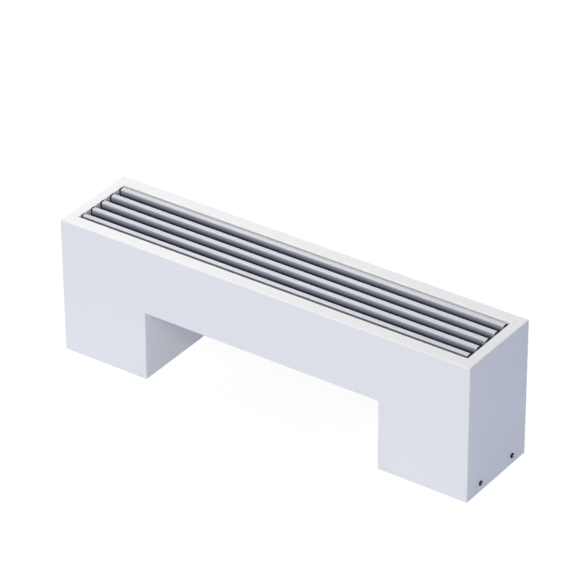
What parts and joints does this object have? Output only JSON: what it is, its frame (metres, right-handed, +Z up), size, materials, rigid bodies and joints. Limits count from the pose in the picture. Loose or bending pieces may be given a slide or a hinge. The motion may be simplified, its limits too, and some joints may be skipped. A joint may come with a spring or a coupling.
{
  "type": "floor-standing convector",
  "caption": "Bench-shaped floor-standing convector: white sheet steel casing on two box legs, lift-out bar grille on top, finned water heat exchanger inside.",
  "frame": {"origin": "centre of the footprint, on the floor", "axes": "+X along the length towards the leg with the pipe ports, -Y the front in the picture, +Z up"},
  "size_m": [0.926, 0.2, 0.29],
  "materials": {
    "casing": "white powder coat, satin, very fine texture",
    "grille": "extruded aluminium, satin grey",
    "rods": "black coated steel",
    "rubber": "black rubber",
    "fins": "aluminium fins with a matt black coat",
    "copper": "drawn copper tube, slightly dulled",
    "brass": "machined brass",
    "zinc": "galvanised sheet steel",
    "screws": "zinc plated steel",
    "black_screws": "blackened steel"
  },
  "bodies": {
    "convector": {"casing_front": "casing", "casing_rear": "casing", "casing_end_left": "casing", "casing_end_right": "casing", "leg_shell_left": "casing", "leg_shell_right": "casing", "grille_pads": "rubber", "fin_pack": "fins", "tube_1": "copper", "tube_2": "copper", "tube_3": "copper", "tube_4": "copper", "bend_upper": "copper", "bend_lower": "copper", "end_plate_left": "zinc", "end_plate_right": "zinc", "supply_block": "brass", "return_block": "brass", "vent_plug": "brass", "blank_plug": "brass", "base_plate_left": "zinc", "base_plate_right": "zinc", "upright_left": "zinc", "upright_right": "zinc", "foot_screws_left": "screws", "foot_screws_right": "screws", "side_screws_left": "black_screws", "side_screws_right": "black_screws", "rivet_nuts_left": "zinc", "rivet_nuts_right": "zinc", "levelling_nuts": "zinc"},
    "grille": {"slat_1": "grille", "slat_2": "grille", "slat_3": "grille", "slat_4": "grille", "slat_5": "grille", "slat_caps": "rubber", "grille_rods": "rods", "grille_spacers": "rods", "grille_nuts": "rods"},
    "air_vent_screw": {"vent_screw": "screws"},
    "level_front_left": {"levelling_screw_front_left": "screws"},
    "level_rear_left": {"levelling_screw_rear_left": "screws"},
    "level_front_right": {"levelling_screw_front_right": "screws"},
    "level_rear_right": {"levelling_screw_rear_right": "screws"}
  },
  "joints": [
    {"name": "grille_lift", "type": "slide", "parent": "convector", "child": "grille", "axis": [0, 0, 1], "range_m": [0, 0.06]},
    {"name": "vent_turn", "type": "hinge", "parent": "convector", "child": "air_vent_screw", "pos_m": [0.35067, -0.04, 0.24445], "axis": [0, 0, 1], "range_deg": [0, 360]},
    {"name": "level_front_left_down", "type": "slide", "parent": "convector", "child": "level_front_left", "axis": [0, 0, -1], "range_m": [0, 0.01]},
    {"name": "level_rear_left_down", "type": "slide", "parent": "convector", "child": "level_rear_left", "axis": [0, 0, -1], "range_m": [0, 0.01]},
    {"name": "level_front_right_down", "type": "slide", "parent": "convector", "child": "level_front_right", "axis": [0, 0, -1], "range_m": [0, 0.01]},
    {"name": "level_rear_right_down", "type": "slide", "parent": "convector", "child": "level_rear_right", "axis": [0, 0, -1], "range_m": [0, 0.01]}
  ]
}
